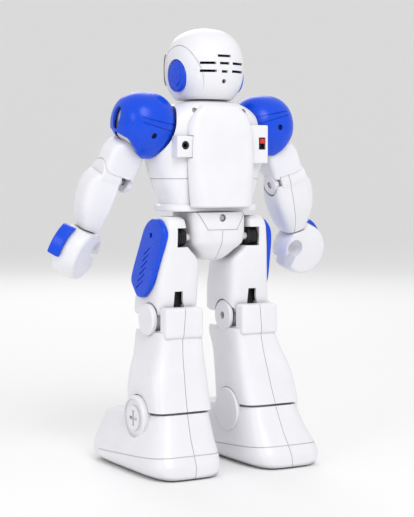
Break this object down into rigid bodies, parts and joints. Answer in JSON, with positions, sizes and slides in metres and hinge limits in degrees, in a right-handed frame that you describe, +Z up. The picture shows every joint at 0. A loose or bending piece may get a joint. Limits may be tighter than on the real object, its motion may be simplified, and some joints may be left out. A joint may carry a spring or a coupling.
{
  "type": "walking humanoid robot",
  "caption": "Toy humanoid robot that walks on wheeled feet, with a domed head, round blue shoulder pads, hinged arms, gripping hands and large flared shins.",
  "frame": {"origin": "on the ground, at the middle of the bounding box's bottom face", "axes": "+Z up, the robot faces -Y and its left side is +X"},
  "size_m": [0.1888, 0.0934, 0.2599],
  "materials": {
    "white_shell": "satin moulded white",
    "blue_trim": "glossy translucent-looking blue",
    "black_part": "matte black",
    "visor_black": "polished black",
    "eye_lens": "clear tinted lens",
    "red_switch": "moulded red",
    "steel": "plated",
    "circuit_green": "solder mask",
    "battery_wrap": "shrink film",
    "wheel_rubber": "matte"
  },
  "bodies": {
    "torso": {"torso_front_shell": "white_shell", "torso_rear_shell": "white_shell", "back_cover": "white_shell", "charging_jack": "black_part", "power_switch_base": "black_part", "main_board": "circuit_green", "battery_pack": "battery_wrap", "speaker": "black_part", "pelvis_front_shell": "white_shell", "pelvis_rear_shell": "white_shell", "pelvis_screw": "steel", "drive_gearbox": "black_part", "hip_axle": "white_shell"},
    "power_switch": {"power_switch_slider": "red_switch"},
    "chest_button": {"chest_button": "blue_trim"},
    "head": {"head_front_shell": "white_shell", "head_rear_shell": "white_shell", "face_visor": "visor_black", "eye_left": "eye_lens", "eye_right": "eye_lens", "ear_cap_left": "blue_trim", "ear_cap_right": "blue_trim"},
    "upper_arm_left": {"shoulder_hub_left": "white_shell", "shoulder_pad_left": "blue_trim", "upper_arm_left": "white_shell", "elbow_pin_left": "steel"},
    "forearm_left": {"forearm_outer_left": "white_shell", "forearm_inner_left": "white_shell"},
    "hand_left": {"hand_left": "white_shell", "wrist_guard_left": "blue_trim"},
    "upper_arm_right": {"shoulder_hub_right": "white_shell", "shoulder_pad_right": "blue_trim", "upper_arm_right": "white_shell", "elbow_pin_right": "steel"},
    "forearm_right": {"forearm_outer_right": "white_shell", "forearm_inner_right": "white_shell"},
    "hand_right": {"hand_right": "white_shell", "wrist_guard_right": "blue_trim"},
    "thigh_left": {"hip_core_left": "black_part", "thigh_shell_left": "white_shell", "thigh_pad_left": "blue_trim"},
    "shin_left": {"shin_outer_left": "white_shell", "shin_inner_left": "white_shell", "knee_pin_left": "steel"},
    "foot_left": {"foot_outer_left": "white_shell", "foot_inner_left": "white_shell", "ankle_pin_left": "steel", "sole_plate_left": "black_part"},
    "wheel_left": {"drive_wheel_left": "wheel_rubber"},
    "thigh_right": {"hip_core_right": "black_part", "thigh_shell_right": "white_shell", "thigh_pad_right": "blue_trim"},
    "shin_right": {"shin_outer_right": "white_shell", "shin_inner_right": "white_shell", "knee_pin_right": "steel"},
    "foot_right": {"foot_outer_right": "white_shell", "foot_inner_right": "white_shell", "ankle_pin_right": "steel", "sole_plate_right": "black_part"},
    "wheel_right": {"drive_wheel_right": "wheel_rubber"}
  },
  "joints": [
    {"name": "head_turn", "type": "hinge", "parent": "torso", "child": "head", "pos_m": [-0.0005, -0.0013, 0.217], "axis": [0, 0, 1], "range_deg": [-45, 45]},
    {"name": "power_switch_slide", "type": "slide", "parent": "torso", "child": "power_switch", "axis": [0, 0, -1], "range_m": [0, 0.0028]},
    {"name": "chest_button_press", "type": "slide", "parent": "torso", "child": "chest_button", "axis": [0, 1, 0], "range_m": [0, 0.001], "stiffness_N_per_m": 400},
    {"name": "shoulder_swing_left", "type": "hinge", "parent": "torso", "child": "upper_arm_left", "pos_m": [0.0405, -0.0014, 0.203], "axis": [1, 0, 0], "range_deg": [-120, 50]},
    {"name": "elbow_bend_left", "type": "hinge", "parent": "upper_arm_left", "child": "forearm_left", "pos_m": [0.056, -0.01105, 0.17144], "axis": [0.9563, 0.0855, 0.2796], "range_deg": [-38, 5]},
    {"name": "wrist_swivel_left", "type": "hinge", "parent": "forearm_left", "child": "hand_left", "pos_m": [0.06564, -0.02137, 0.14162], "axis": [-0.2922, 0.3128, 0.9038], "range_deg": [-60, 30]},
    {"name": "shoulder_swing_right", "type": "hinge", "parent": "torso", "child": "upper_arm_right", "pos_m": [-0.0415, -0.0014, 0.203], "axis": [1, 0, 0], "range_deg": [-140, 30]},
    {"name": "elbow_bend_right", "type": "hinge", "parent": "upper_arm_right", "child": "forearm_right", "pos_m": [-0.057, 0.00033, 0.17005], "axis": [0.9563, 0.0153, -0.292], "range_deg": [-22, 18]},
    {"name": "wrist_swivel_right", "type": "hinge", "parent": "forearm_right", "child": "hand_right", "pos_m": [-0.06623, -0.00773, 0.1394], "axis": [0.2796, 0.2441, 0.9286], "range_deg": [-40, 40]},
    {"name": "hip_left", "type": "hinge", "parent": "torso", "child": "thigh_left", "pos_m": [0.0255, 0.0111, 0.1366], "axis": [1, 0, 0], "range_deg": [-10, 10]},
    {"name": "knee_left", "type": "hinge", "parent": "thigh_left", "child": "shin_left", "pos_m": [0.026, 0.0026, 0.0884], "axis": [1, 0, 0], "range_deg": [-4, 8]},
    {"name": "ankle_left", "type": "hinge", "parent": "shin_left", "child": "foot_left", "pos_m": [0.0305, 0.0085, 0.032], "axis": [1, 0, 0], "range_deg": [-3, 3]},
    {"name": "wheel_spin_left", "type": "hinge", "parent": "foot_left", "child": "wheel_left", "pos_m": [0.0335, 0.0231, 0.006], "axis": [1, 0, 0], "continuous": true},
    {"name": "hip_right", "type": "hinge", "parent": "torso", "child": "thigh_right", "pos_m": [-0.0265, 0.0111, 0.1366], "axis": [1, 0, 0], "range_deg": [-10, 10]},
    {"name": "knee_right", "type": "hinge", "parent": "thigh_right", "child": "shin_right", "pos_m": [-0.027, 0.0026, 0.0884], "axis": [1, 0, 0], "range_deg": [-4, 8]},
    {"name": "ankle_right", "type": "hinge", "parent": "shin_right", "child": "foot_right", "pos_m": [-0.0315, 0.0085, 0.032], "axis": [1, 0, 0], "range_deg": [-3, 3]},
    {"name": "wheel_spin_right", "type": "hinge", "parent": "foot_right", "child": "wheel_right", "pos_m": [-0.0345, 0.0231, 0.006], "axis": [1, 0, 0], "continuous": true}
  ],
  "couplings": [
    {"joint": "hip_right", "follows": "hip_left", "ratio": -1}
  ]
}
